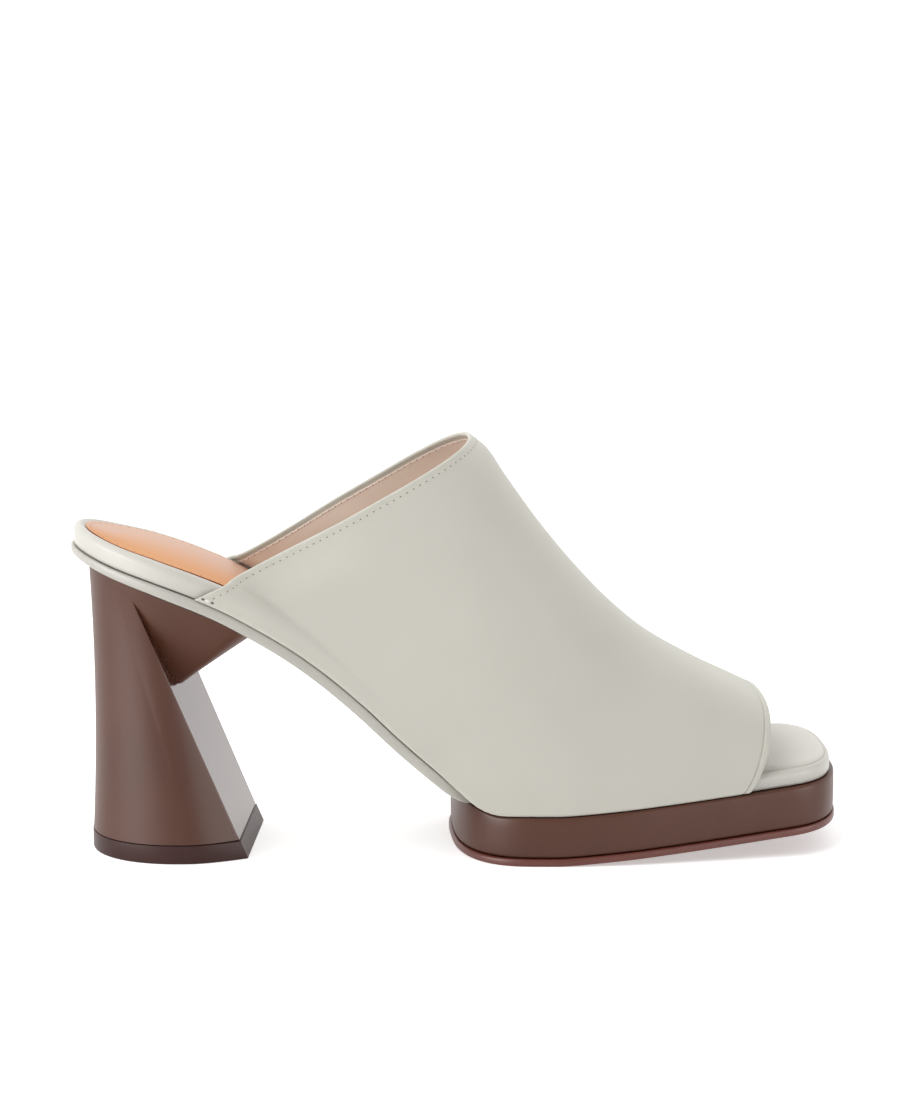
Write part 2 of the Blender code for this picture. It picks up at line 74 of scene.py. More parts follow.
# Plan of the footbed: station, width it is a share of, lateral share, medial share
planRows = [(s, w / 2 * lateral, w / 2 * medial) for s, w, lateral, medial in (
    (0.000, seat, 0.970, 0.970),
    (0.105, seat, 0.985, 0.985),
    (0.155, seat, 1.000, 0.990),
    (0.227, seat, 1.005, 0.970),
    (0.303, waist, 1.025, 0.955),
    (0.387, waist, 1.050, 0.950),
    (0.455, waist, 1.120, 1.030),
    (0.526, ball, 0.920, 0.890),
    (0.598, ball, 0.980, 0.975),
    (0.648, ball, 1.000, 1.000),
    (0.703, ball, 0.994, 1.006),
    (0.766, ball, 0.958, 1.000),
    (0.829, toe, 1.032, 1.088),
    (0.893, toe, 0.974, 1.026),
    (0.939, toe, 0.934, 0.975),
    (1.000, toe, 0.880, 0.910),
)]
# Rise of the sole's underside from the platform to the seat
profileRows = (
    (0.000, 1.000), (0.046, 0.945), (0.103, 0.883), (0.181, 0.784), (0.227, 0.707),
    (0.273, 0.618), (0.320, 0.509), (0.366, 0.386), (0.410, 0.257), (0.456, 0.135),
    (0.486, 0.062), (0.513, 0.018), (0.540, 0.000),
)
# Thickness of the sole, skived in front
skiveRows = (
    (0.000, 0.760), (0.060, 0.860), (0.160, 1.000), (0.440, 1.000), (0.480, 0.930),
    (0.504, 0.600), (0.520, 0.240), (0.532, 0.050), (0.542, 0.000),
)
# Sections of the upper from collar to toe: along, base, crest, rise, upright, crown, side, tuck, shift, bow
sectionNames = ("along", "base", "crest", "rise", "upright", "crown", "side", "tuck", "shift", "bow")
sectionTable = (
    (0.160, 0.519, 1.000, 0.930, 6.0, 2.2, 0.66, 0.30, 0.45),
    (0.195, 0.541, 0.962, 0.936, 5.8, 2.2, 0.50, 0.45, 0.25),
    (0.230, 0.566, 0.884, 0.945, 5.6, 2.2, 0.20, 0.60, 0.15),
    (0.307, 0.610, 0.754, 0.955, 5.0, 2.3, 0.04, 0.80, 0.30),
    (0.391, 0.658, 0.630, 0.965, 4.6, 2.4, 0.00, 1.00, 0.50),
    (0.480, 0.707, 0.521, 0.975, 4.2, 2.5, 0.00, 1.10, 0.65),
    (0.572, 0.758, 0.431, 0.985, 4.0, 2.7, 0.00, 1.10, 0.80),
    (0.669, 0.808, 0.366, 0.990, 4.2, 3.0, 0.00, 1.05, 0.90),
    (0.770, 0.857, 0.310, 0.995, 4.6, 3.4, 0.00, 1.00, 1.00),
    (0.869, 0.906, 0.266, 1.000, 5.0, 2.4, 0.00, 0.40, 0.75),
)
sectionRows = [(i / (len(sectionTable) - 1),) + row for i, row in enumerate(sectionTable)]
# How the upper lies against the footbed, and how its sections lean, tuck in and bow
hug = {
    "medialLag": 0.0045, "ease": 0.0004, "fall": 1.6, "softness": 0.0040,
    "tuck": 0.0110, "tuckRun": (0.18, 0.56), "uprightRun": (0.15, 0.60),
    "bow": 0.0018, "shift": 0.0035, "crowding": 2.2,
}


# Forms

def through(rows, column, at):  # monotone cubic through one column of a table, straight beyond its ends
    xs = np.array([row[0] for row in rows], float)
    ys = np.array([row[column] for row in rows], float)
    at = np.asarray(at, float)
    step = np.diff(xs)
    slope = np.diff(ys) / step
    tangent = np.concatenate(([slope[0]], np.zeros(len(xs) - 2), [slope[-1]]))
    for i in range(1, len(xs) - 1):
        if slope[i - 1] * slope[i] > 0:
            near, far = 2 * step[i] + step[i - 1], step[i] + 2 * step[i - 1]
            tangent[i] = (near + far) / (near / slope[i - 1] + far / slope[i])
    i = np.clip(np.searchsorted(xs, at) - 1, 0, len(step) - 1)
    t = np.clip((at - xs[i]) / step[i], 0.0, 1.0)
    inside = (ys[i] * (1 + 2 * t) + tangent[i] * step[i] * t) * (1 - t) ** 2
    inside += (ys[i + 1] * (3 - 2 * t) - tangent[i + 1] * step[i] * (1 - t)) * t ** 2
    return inside + tangent[0] * np.minimum(at - xs[0], 0) + tangent[-1] * np.maximum(at - xs[-1], 0)


def ease(x, start, end):
    t = np.clip((x - start) / (end - start), 0.0, 1.0)
    return t * t * (3 - 2 * t)


def stationOf(x):
    return (x + shoe["length"] / 2) / shoe["length"]


def placeOf(station):
    return station * shoe["length"] - shoe["length"] / 2


platformTop = shoe["outsole"] + shoe["gap"] + shoe["platform"]
footbedBack = -shoe["length"] / 2 + ledge["sole"]
footbedFront = shoe["length"] / 2 - ledge["outsole"] * ledge["toeShare"]
upperOut = shoe["gap"] + shoe["wall"]


def toeRise(x):
    ahead = np.maximum(stationOf(x) - shoe["flatEnd"], 0.0) / (1 - shoe["flatEnd"])
    return shoe["toeSpring"] * ahead ** shoe["springPower"]


def underside(x):  # height of the sole's underside, which in front lies on the platform
    station = stationOf(x)
    climb = np.where(station < profileRows[-1][0], through(profileRows, 1, station), 0.0)
    lift = shoe["seatHeight"] - platformTop - shoe["gap"]
    return platformTop + shoe["gap"] + climb * lift + toeRise(x)


def soleThickness(x):
    station = stationOf(x)
    share = np.maximum(through(skiveRows, 1, station), 0.0)
    return shoe["sole"] * np.where(station < skiveRows[-1][0], share, 0.0)


def feather(x):  # height above the sole's underside where footbed and upper begin
    start, end = (shoe["soleFront"] + run for run in shoe["featherRun"])
    return soleThickness(x) + shoe["gap"] * (1 - ease(stationOf(x), start, end))


def cushion(x):
    forward = ease(stationOf(x), *shoe["cushionRun"])
    return shoe["seatCushion"] + (shoe["toeCushion"] - shoe["seatCushion"]) * forward


def profileLength(x):
    step = shoe["length"] / 1000
    return np.hypot(1.0, (underside(x + step) - underside(x - step)) / (2 * step))


def onProfile(x, height):  # Z of the point over x at a height square to the sole's underside
    return underside(x) + height * profileLength(x)


def endRound(distance, radius, power):
    return (1 - (1 - np.clip(distance / radius, 0, 1)) ** power) ** (1 / power)


def halfWidth(x, side, margin=0.0, back=None, front=None):
    width = through(planRows, 1 if side < 0 else 2, stationOf(x)) + margin
    if back:
        width = width * endRound(x - back[0], back[1], back[2])
    if front:
        width = width * endRound(front[0] - x, front[1], front[2])
    return width


def ends(margin):
    back = (footbedBack - margin, corner["heel"] + margin, squareness["heel"])
    front = (footbedFront + margin * ledge["toeShare"], corner["toe"] + margin, squareness["toe"])
    return back, front


def ring(margin, back, front, height, along=130, turns=24):  # closed outline of a layer at one height
    least = np.radians(1.0)  # so that the two sides never meet in one point
    turn = least + (np.pi / 2 - least) * np.arange(turns) / turns
    first = back[0] + back[1] * (1 - np.cos(turn))
    last = front[0] - front[1] * (1 - np.cos(turn))
    middle = np.linspace(back[0] + back[1], front[0] - front[1], along + 1)
    x = np.concatenate([first, middle, last[::-1]])
    z = height(x)
    sides = [np.stack([x, s * halfWidth(x, s, margin, back, front), z], axis=1) for s in (-1, 1)]
    return np.concatenate([sides[0], sides[1][::-1]])


def rounded(radius, steps=5):  # pairs of inset and drop round a quarter circle, from the side to the top
    turns = np.radians(np.linspace(90 / steps, 90, steps))
    return [(radius * (1 - math.cos(a)), radius * (1 - math.sin(a))) for a in turns]


# Meshes

def linkMesh(name, vertices, faces, material, smoothAngle=38.0):
    mesh = bpy.data.meshes.new(name)
    mesh.from_pydata([tuple(v) for v in vertices], [], faces)
    mesh.validate()
    mesh.shade_smooth()
    mesh.set_sharp_from_angle(angle=math.radians(smoothAngle))
    mesh.materials.append(material)
    piece = bpy.data.objects.new(name, mesh)
    bpy.context.scene.collection.objects.link(piece)
    return piece


def paint(piece, name, values):  # one number for each point, which a material can read
    layer = piece.data.attributes.new(name, "FLOAT", "POINT")
    layer.data.foreach_set("value", np.asarray(values, np.float32))


def stacked(name, rings, material, smoothAngle=38.0):
    count = len(rings[0])
    vertices = np.concatenate(rings)
    faces = []
    for level in range(len(rings) - 1):
        low, high = level * count, (level + 1) * count
        faces += [(low + i, low + (i + 1) % count, high + (i + 1) % count, high + i) for i in range(count)]
    top = (len(rings) - 1) * count
    for i in range(count // 2 - 1):
        other = count - 1 - i
        faces.append((i, other, other - 1, i + 1))
        faces.append((top + i, top + i + 1, top + other - 1, top + other))
    return linkMesh(name, vertices, faces, material, smoothAngle)


def place(piece, slot, *nodes):
    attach(piece, "root")
    if nodes:
        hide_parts(*nodes)
    print("made", piece.name, len(piece.data.polygons), "faces")
    return piece


def beads(name, centres, along, outward, size, material):  # small rounded beads lying along a path
    turns, levels = 8, 5
    unit = []
    for i in range(levels):
        polar = math.pi * (i + 0.5) / levels
        for j in range(turns):
            a = 2 * math.pi * j / turns
            unit.append((math.cos(polar), math.sin(polar) * math.cos(a), math.sin(polar) * math.sin(a)))
    unit += [(1, 0, 0), (-1, 0, 0)]
    unit = np.array(unit)
    shape = []
    for i in range(levels - 1):
        for j in range(turns):
            a, b = i * turns + j, i * turns + (j + 1) % turns
            shape.append((a, b, b + turns, a + turns))
    first, last = levels * turns, (levels - 1) * turns
    shape += [(first, (j + 1) % turns, j) for j in range(turns)]
    shape += [(first + 1, last + j, last + (j + 1) % turns) for j in range(turns)]
    vertices, faces = [], []
    for centre, forward, out in zip(centres, along, outward):
        across = np.cross(out, forward)
        offset = len(vertices)
        vertices += list(centre + unit[:, :1] * size[0] / 2 * forward
                         + unit[:, 1:2] * size[1] / 2 * across + unit[:, 2:3] * size[2] / 2 * out)
        faces += [tuple(offset + v for v in face) for face in shape]
    return linkMesh(name, vertices, faces, material, 80.0)


def unitRows(vectors):
    return vectors / np.maximum(np.linalg.norm(vectors, axis=-1, keepdims=True), 1e-12)


def spacedAlong(points, pitch, start=0.0, stop=0.0):  # even places on a path: their index as a fraction
    walked = np.concatenate([[0], np.cumsum(np.linalg.norm(np.diff(points, axis=0), axis=1))])
    count = int((walked[-1] - start - stop) / pitch)
    return np.interp(start + pitch * np.arange(count + 1), walked, np.arange(len(points)))


def pick(values, places):  # values at fractional places of a path
    index = np.arange(len(values))
    return np.stack([np.interp(places, index, values[:, k]) for k in range(values.shape[1])], axis=1)


# Materials

def tone(red, green, blue):  # a colour given as it looks on a screen, 0 to 255
    def one(value):
        value /= 255
        return value / 12.92 if value <= 0.04045 else ((value + 0.055) / 1.055) ** 2.4
    return (one(red), one(green), one(blue), 1.0)


class Wire:
    def __init__(self, tree, socket=None):
        self.tree, self.socket = tree, socket

    def node(self, kind, settings=None, values=None, out=0):
        made = self.tree.nodes.new(kind)
        for key, value in (settings or {}).items():
            setattr(made, key, value)
        for key, value in (values or {}).items():
            if isinstance(value, Wire):
                self.tree.links.new(value.socket, made.inputs[key])
            else:
                made.inputs[key].default_value = value
        return Wire(self.tree, made.outputs[out])

    def math(self, operation, first, second=0.0, clamp=False):
        settings = {"operation": operation, "use_clamp": clamp}
        return self.node("ShaderNodeMath", settings, {0: first, 1: second})

    def __add__(self, other):
        return self.math("ADD", self, other)

    def __radd__(self, other):
        return self.math("ADD", other, self)

    def __sub__(self, other):
        return self.math("SUBTRACT", self, other)

    def __rsub__(self, other):
        return self.math("SUBTRACT", other, self)

    def __mul__(self, other):
        return self.math("MULTIPLY", self, other)

    def __rmul__(self, other):
        return self.math("MULTIPLY", other, self)

    def within(self, low, high):  # 0 below low, 1 above high
        return self.math("MULTIPLY", self - low, 1 / (high - low), clamp=True)

    def tint(self, low, high):  # from one colour to another by this value
        return self.node("ShaderNodeMix", {"data_type": "RGBA"}, {0: self, 6: low, 7: high}, out=2)


def noise(where, size, detail, roughness=0.5):
    values = {"Vector": where, "Scale": 1 / size, "Detail": detail, "Roughness": roughness}
    return where.node("ShaderNodeTexNoise", {}, values)


def cells(where, size):
    return where.node("ShaderNodeTexVoronoi", {"feature": "F1"}, {"Vector": where, "Scale": 1 / size})


def painted(wire, mark):  # a mark painted on the mesh, 0 to 1
    return wire.node("ShaderNodeAttribute", {"attribute_name": mark}, out="Fac").within(0.0, 1.0)


def newMaterial(name, constants):
    material = bpy.data.materials.new(name)
    material.use_nodes = True
    shader = material.node_tree.nodes["Principled BSDF"]
    for key, value in constants.items():
        shader.inputs[key].default_value = value
    return material, shader, Wire(material.node_tree)


# What all leathers and rubbers share: cloud contrast, sizes and weights of the parts of the grain
grainMix = {
    "cloudRange": (0.3, 0.7), "speckSize": 2.5, "fineSize": 0.45,
    "pores": 0.7, "fine": 0.5, "speck": 0.6,
}


def leather(name, look):
    material, shader, wire = newMaterial(name, {"Specular IOR Level": look.get("specular", 0.5)})
    mix, size = grainMix, look["grainSize"]
    where = wire.node("ShaderNodeTexCoord", out="Object")
    cloud = noise(where, look["cloudSize"], 3.0)
    speck = noise(where, size * mix["speckSize"], 4.0, 0.6)
    pores = cells(where, size)
    fine = noise(where, size * mix["fineSize"], 2.0)
    colour = cloud.within(*mix["cloudRange"]).tint(look["shade"], look["colour"])
    for mark in ("far", "edge"):  # marks painted on the mesh: the darker cut edge, and a painted sheen, paler toward the far side
        if mark in look:
            colour = painted(wire, mark).tint(colour, look[mark])
    gloss = look["roughness"] + (cloud - 0.5) * look["glossDrift"] + (speck - 0.5) * look["glossSpeck"]
    if "polished" in look:  # and its smoother faces
        gloss = gloss + painted(wire, "polished") * (look["polished"] - look["roughness"])
    height = pores * mix["pores"] + fine * mix["fine"] + speck * mix["speck"]
    relief = {"Height": height, "Strength": look["grain"], "Distance": look["grainDepth"]}
    bump = wire.node("ShaderNodeBump", {}, relief)
    links = material.node_tree.links
    links.new(colour.socket, shader.inputs["Base Color"])
    links.new(gloss.socket, shader.inputs["Roughness"])
    links.new(bump.socket, shader.inputs["Normal"])
    return material


# Outsole

outsoleLook = {
    "colour": tone(103, 47, 34), "shade": tone(95, 42, 30), "cloudSize": 0.018, "roughness": 0.42,
    "glossDrift": 0.10, "glossSpeck": 0.10, "grain": 0.25, "grainSize": 0.0006, "grainDepth": 0.00008,
    "borderIn": 0.0032, "borderDepth": 0.0003, "borderWidth": 0.0008,
    # Border groove from the inside out: shares of its width and depth, and of the tread
    "borderRings": (
        (-3.0, 0, 1), (-2.4, 0, 0), (-1.2, 0, 0), (-0.7, 1, 0), (-0.3, 1, 0), (0, 0, 0), (0.3, 0, 0),
    ),
    "treadPitch": 0.0034, "treadShare": 0.34, "treadFloor": 0.6, "treadDepth": 0.00035,
    "treadBack": 0.012, "treadFront": 0.014, "treadFade": 1.5,
}


def makeOutsole():
    breast, front, look = placeOf(shoe["platformBack"]), footbedFront, outsoleLook

    def tread(x):  # fine grooves across the underside, which fade out before both ends
        turn = np.abs((x / look["treadPitch"]) % 1.0 - 0.5) * 2
        back, ahead, fade = look["treadBack"], look["treadFront"], look["treadFade"]
        inside = ease(x, breast + back, breast + fade * back)
        inside = inside * ease(-x, -front + ahead, -front + fade * ahead)
        floor = 1 - ease(turn, look["treadShare"] * look["treadFloor"], look["treadShare"])
        return look["treadDepth"] * inside * floor

    def at(margin, height, groove=0):
        back = (breast - (margin - ledge["platform"]), corner["breast"], squareness["breast"])
        return ring(margin, back, ends(margin)[1], lambda x: toeRise(x) + height + groove * tread(x), 420)

    out, radius, thick = ledge["outsole"], edge["outsole"], shoe["outsole"]
    border, width, depth = out - look["borderIn"], look["borderWidth"], look["borderDepth"]
    rings = [at(border + step * width, deep * depth, groove) for step, deep, groove in look["borderRings"]]
    rings += [at(out - inset, drop) for inset, drop in rounded(radius)[::-1]]
    rings += [at(out, radius), at(out, thick / 2), at(out, thick - radius)]
    rings += [at(out - inset, thick - drop) for inset, drop in rounded(radius)]
    rings.append(at(out - 3 * radius, thick))
    piece = stacked("outsoleRubber", rings, leather("outsoleFinish", look))
    return place(piece, "outsole_rubber", "outsole")


makeOutsole()

# Platform

platformLook = {
    "colour": tone(84, 48, 33), "shade": tone(78, 44, 30), "cloudSize": 0.022, "roughness": 0.42,
    "glossDrift": 0.06, "glossSpeck": 0.06, "grain": 0.10, "grainSize": 0.0006, "grainDepth": 0.00003,
    "specular": 0.30, "edgeRound": 0.0007, "bulge": 0.0002, "sideLevels": (0.08, 0.25, 0.5, 0.75, 0.92),
}


def makePlatform():
    look, breast = platformLook, placeOf(shoe["platformBack"])
    radius = look["edgeRound"]
    bottom = shoe["outsole"] + shoe["gap"]

    def at(inset, fromTop, share):
        margin = ledge["platform"] - inset
        back = (breast + inset, corner["breast"], squareness["breast"])

        def height(x):
            low, high = toeRise(x) + bottom, underside(x) - shoe["gap"]
            return low + (high - low) * share + fromTop

        return ring(margin, back, ends(margin)[1], height)

    rings = [at(inset, drop, 0.0) for inset, drop in rounded(radius)[::-1]]
    for share in look["sideLevels"]:
        rings.append(at(-look["bulge"] * 4 * share * (1 - share), 0.0, share))
    rings += [at(inset, -drop, 1.0) for inset, drop in rounded(radius)]
    rings.append(at(ledge["platform"] * 2, 0.0, 1.0))
    piece = stacked("platformLeather", rings, leather("platformFinish", look))
    return place(piece, "platform_leather", "platform")


makePlatform()

# Sole strip

soleLook = {
    "colour": tone(178, 175, 167), "shade": tone(173, 170, 162), "cloudSize": 0.02, "roughness": 0.42,
    "glossDrift": 0.08, "glossSpeck": 0.08, "grain": 0.12, "grainSize": 0.0005, "grainDepth": 0.00005,
    "bottomRound": 0.36, "middle": 0.5, "topRound": 0.30, "lap": 0.002,
}


def makeSole():
    front = (placeOf(shoe["soleFront"]), corner["skive"], squareness["skive"])

    def at(inset, share):
        margin = ledge["sole"] - inset
        return ring(margin, ends(margin)[0], front, lambda x: onProfile(x, share * soleThickness(x)))

    look, radius = soleLook, edge["sole"]
    low, high = look["bottomRound"], look["topRound"]
    rings = [at(radius + look["lap"], 0.0)]
    rings += [at(inset, low * drop / radius) for inset, drop in rounded(radius)[::-1]]
    rings += [at(0.0, low), at(0.0, look["middle"]), at(0.0, 1 - high)]
    rings += [at(0.5 * inset, 1 - high * drop / radius) for inset, drop in rounded(radius)]
    rings.append(at(radius + look["lap"], 1.0))
    piece = stacked("soleStrip", rings, leather("soleFinish", look))
    return place(piece, "sole_cover", "sole")


makeSole()

# Footbed

footbedLook = {
    "colour": tone(196, 193, 185), "shade": tone(191, 188, 180), "cloudSize": 0.03, "roughness": 0.46,
    "glossDrift": 0.08, "glossSpeck": 0.08, "grain": 0.14, "grainSize": 0.0006, "grainDepth": 0.00006,
    "foot": 0.0004, "sideLevels": (0.3, 0.6, 0.85), "rimTurn": 60, "rimSteps": 6,
    "finely": (1.4, 3.1, 0.15), "coarsely": (3.3, 3.7, 4.3, 5.2, 8.0),  # insets of the top's rings in mm
    "toeDome": 0.0006, "domeRun": (1.0, 2.2), "toeRun": (0.80, 0.90),
    "seatDish": 0.0005, "dishRun": (0.8, 1.5), "dishFade": (0.05, 0.33),
    "creaseDepth": 0.00060, "creaseInset": 0.0022, "creaseWidth": 0.00055,
}


def seatDish(x):  # the seat is hollowed inside its rim and levels out toward the waist
    return footbedLook["seatDish"] * (1 - ease(stationOf(x), *footbedLook["dishFade"]))


def makeFootbed():
    radius, look = edge["rim"], footbedLook

    def at(margin, height):
        return ring(margin, *ends(margin), lambda x: onProfile(x, feather(x) + height(x)), along=260)

    def toward(x):  # 0 at the seat, 1 at the toe
        return ease(stationOf(x), *look["toeRun"])

    def inside(inset):
        crease = look["creaseDepth"] * math.exp(-((inset - look["creaseInset"]) / look["creaseWidth"]) ** 2)
        past, within = (ease(inset, *(radius * run for run in look[name])) for name in ("domeRun", "dishRun"))
        side = max(1 - inset / radius, 0.0)
        drop = radius * (1 - math.sqrt(1 - side * side))
        return lambda x: (cushion(x) - drop - crease * toward(x) + look["toeDome"] * toward(x) * past
                          - seatDish(x) * within)

    rings = [at(-3 * look["foot"], lambda x: 0.0 * x), at(-look["foot"], lambda x: 0.0 * x)]
    rings += [at(0.0, lambda x: look["foot"] + 0.0 * x)]
    rings += [at(0.0, lambda x, s=s: (cushion(x) - radius) * s) for s in look["sideLevels"]]
    turns = np.radians(np.linspace(0, look["rimTurn"], look["rimSteps"]))
    insets = list(radius * (1 - np.cos(turns))) + list(np.arange(*look["finely"]) * millimetre)
    insets += [inset * millimetre for inset in look["coarsely"]]
    rings += [at(-inset, inside(inset)) for inset in insets]
    piece = stacked("footbedLeather", rings, leather("footbedFinish", look), 60.0)
    return place(piece, "footbed_leather", "footbed")


makeFootbed()

# Heel sock, with its row of pinholes

sockLook = {
    "specular": 0.1, "colour": tone(204, 142, 88), "shade": tone(198, 136, 82), "edge": tone(128, 62, 44),
    # far: a painted sheen, paler and pinker toward the sock's far side, eased in from turnFrom to turnTo
    "far": tone(199, 164, 144), "cloudSize": 0.02, "roughness": 0.48, "glossDrift": 0.10,
    "glossSpeck": 0.06, "grain": 0.10, "grainSize": 0.0005, "grainDepth": 0.00004,
    "thick": 0.00042, "sunk": 0.00010, "edgeRound": 0.00012, "turnFrom": -0.012, "turnTo": 0.006,
    "insets": (0.4, 0.8, 1.6, 2.6, 3.8, 5.5, 8.0),  # of the top's rings in mm
    "holeInset": 0.0050, "holePitch": 0.0031, "holeSize": (0.00050, 0.00050, 0.00016),
    # hole: the pinholes' dark colour is painted shade
    "holeFront": 0.30, "holeCentre": 0.20, "hole": tone(120, 70, 40),
}


def makeSock():
    front = (placeOf(shoe["sockFront"]), corner["sock"], squareness["sock"])
    look, radius = sockLook, sockLook["edgeRound"]

    def at(inset, height):
        margin = -ledge["sockInset"] - inset

        def level(x):
            return onProfile(x, feather(x) + cushion(x) - seatDish(x) + height)

        return ring(margin, ends(margin)[0], front, level)

    rings = [at(0.0, -look["sunk"]), at(0.0, look["thick"] - radius)]
    rings += [at(inset, look["thick"] - drop) for inset, drop in rounded(radius, 3)]
    rings += [at(inset * millimetre, look["thick"]) for inset in look["insets"]]
    rings.insert(0, at(radius * 3, -look["sunk"]))
    piece = stacked("heelSock", rings, leather("sockFinish", look))
    marks = np.zeros(len(piece.data.vertices))
    marks[:4 * len(rings[0])] = 1.0  # the rings of its cut edge
    paint(piece, "edge", marks)
    across = np.concatenate(rings)[:, 1]
    # a painted sheen that grows toward the sock's far side
    paint(piece, "far", ease(across, look["turnFrom"], look["turnTo"]))
    place(piece, "sock_leather", "heel_sock")

    path = at(look["holeInset"] - ledge["sockInset"], look["thick"])
    path = path[path[:, 0] < placeOf(look["holeFront"])]
    path = path[np.argsort(np.arctan2(path[:, 1], placeOf(look["holeCentre"]) - path[:, 0]))]
    spots = spacedAlong(path, look["holePitch"], look["holePitch"] / 2)
    forward = unitRows(pick(np.gradient(path, axis=0), spots))
    up = np.tile([0.0, 0.0, 1.0], (len(spots), 1))
    # dark beads stand in for the pinholes; their colour is painted shade
    shade = newMaterial("sockHoleShade", {"Base Color": look["hole"], "Roughness": 0.8})[0]
    holes = beads("sockPinholes", pick(path, spots), forward, up, look["holeSize"], shade)
    return place(holes, "sock_leather")


makeSock()

# Upper: leather outside, lining inside, stitched along the collar

upperLook = {
    "colour": tone(192, 190, 180), "shade": tone(188, 186, 176), "cloudSize": 0.035, "roughness": 0.54,
    "specular": 0.2,
    "glossDrift": 0.06, "glossSpeck": 0.08, "grain": 0.14, "grainSize": 0.00055, "grainDepth": 0.00006,
    "leather": 0.00085, "turnIn": 0.0016, "turnEnd": 0.0019, "foldSwell": 0.00010, "foldFlat": 0.0008,
    "foldShare": 0.8, "bandWidth": 0.0019, "grooveDepth": 0.00035, "grooveWidth": 0.00030,
    "seamTuck": 0.0006, "seamReach": 0.0012,
    # Rows of the mesh beside the two free edges, in mm from the edge
    "collarRows": (0.42, 0.6, 0.9, 1.2, 1.6, 2.0, 2.2, 2.4, 2.6, 2.8, 3.2, 4.0, 5.2, 7.0),
    "toeRows": (6.0, 4.4, 3.4, 2.7, 2.35, 2.2, 2.05, 1.9, 1.75, 1.6, 1.4, 1.1, 0.8, 0.42),
}
liningLook = {
    "colour": tone(246, 231, 218), "shade": tone(241, 226, 213), "cloudSize": 0.02, "roughness": 0.5,
    "glossDrift": 0.08, "glossSpeck": 0.10, "grain": 0.12, "grainSize": 0.0007, "grainDepth": 0.00006,
    "fromEdge": 0.0018, "fromToe": 0.0027, "clear": 0.00003,
}
stitchLook = {
    "inset": 0.0024, "pitch": 0.0023, "size": (0.00150, 0.00042, 0.00034), "sink": 0.00002,
    "holeSize": (0.00048, 0.00040, 0.00016), "channel": 0.00006, "channelWidth": 0.0004, "endGap": 0.0015,
    # each pair: the thread's colour, then the holes' dark colour, which is painted shade in the stitch holes
    "outer": (tone(198, 195, 185), tone(104, 100, 90)), "inner": (tone(222, 208, 196), tone(150, 122, 104)),
}
tackLook = {  # one stitch with a dark hole at each end, at the foot of both collar tails
    "column": 3, "at": (0.0022,), "size": (0.0013, 0.0009, 0.0005), "colour": tone(222, 220, 212),
    # hole: painted shade in the tack's two holes
    "holesAt": (0.0008, 0.0038), "holeSize": (0.0010, 0.0007, 0.0002), "hole": tone(66, 58, 52),
}


def hugWidth(x, side, z):  # least half width at which the upper clears the footbed's rim and sock
    radius = edge["rim"] + hug["ease"]
    reach = radius + upperOut
    above = (z - underside(x)) / profileLength(x) - (feather(x) + cushion(x) - edge["rim"])
    rim = halfWidth(x, side)
    over = np.sqrt(np.maximum(reach ** 2 - np.clip(above, 0, reach) ** 2, 0.0))
    leaning = np.where(above < reach, rim - radius + over, rim - radius - hug["fall"] * (above - reach))
    return np.where(above <= 0, rim + upperOut, leaning)


def section(u, count, pathSteps=260):  # one section, from the lateral feather edge over the crest
    row = {name: float(through(sectionRows, i, u)) for i, name in enumerate(sectionNames) if i}
    p = 1 - (1 - np.arange(pathSteps + 1) / pathSteps) ** hug["crowding"]
    bow = hug["bow"] * row["bow"] * 27 / 4 * p * (1 - p) ** 2  # 27 / 4 brings its peak to 1
    halves = []
    for side in (-1, 1):
        footX = placeOf(row["base"]) + (hug["medialLag"] * row["tuck"] if side > 0 else 0.0)
        footZ = onProfile(footX, feather(footX))
        run = placeOf(row["crest"]) - footX
        climb = platformTop + row["rise"] * (shoe["collarHeight"] - platformTop) - footZ
        length = math.hypot(run, climb)
        x = footX + run * p + climb / length * bow
        z = footZ + climb * p - run / length * bow
        spread = halfWidth(x, side, upperOut) * (1 - (1 - row["upright"]) * ease(p, *hug["uprightRun"]))
        spread = spread - hug["tuck"] * row["tuck"] * (1 - ease(p, *hug["tuckRun"]))
        spread = spread * np.maximum(1 - p ** row["crown"], 0.0) ** (1 / row["side"])
        least = hugWidth(x, side, z)
        spread = (spread + least + np.hypot(spread - least, hug["softness"] * row["tuck"])) / 2
        halves.append(np.stack([x, side * spread + hug["shift"] * row["shift"] * p * p, z], axis=1))
    path = np.concatenate([halves[0], halves[1][-2::-1]])
    walked = np.concatenate([[0], np.cumsum(np.linalg.norm(np.diff(path, axis=0), axis=1))])
    even = np.linspace(0, 1, count)
    wanted = walked[-1] * (even - 0.5 * np.sin(2 * np.pi * even) / (2 * np.pi))
    return np.stack([np.interp(wanted, walked, path[:, k]) for k in range(3)], axis=1)


def upperGrid(fromCollar, fromToe, middle=74, columns=201, fineRows=200):
    fine = np.stack([section(u, columns) for u in np.linspace(0, 1, fineRows)])
    walked = np.concatenate([np.zeros((1, columns)),
                             np.cumsum(np.linalg.norm(np.diff(fine, axis=0), axis=2), axis=0)])
    grid, collar, toeward = [], [], []
    for j in range(columns):
        whole = walked[-1, j]
        body = np.linspace(fromCollar[-1], whole - fromToe[0], middle + 2)[1:-1]
        wanted = np.concatenate([fromCollar, body, whole - np.array(fromToe)])
        grid.append(np.stack([np.interp(wanted, walked[:, j], fine[:, j, k]) for k in range(3)], axis=1))
        collar.append(wanted)
        toeward.append(whole - wanted)
    return np.stack(grid, axis=1), np.stack(collar, axis=1), np.stack(toeward, axis=1)


def gridNormals(grid):
    return unitRows(np.cross(np.gradient(grid, axis=0), np.gradient(grid, axis=1)))


rimTurns = np.radians([75, 50, 25])


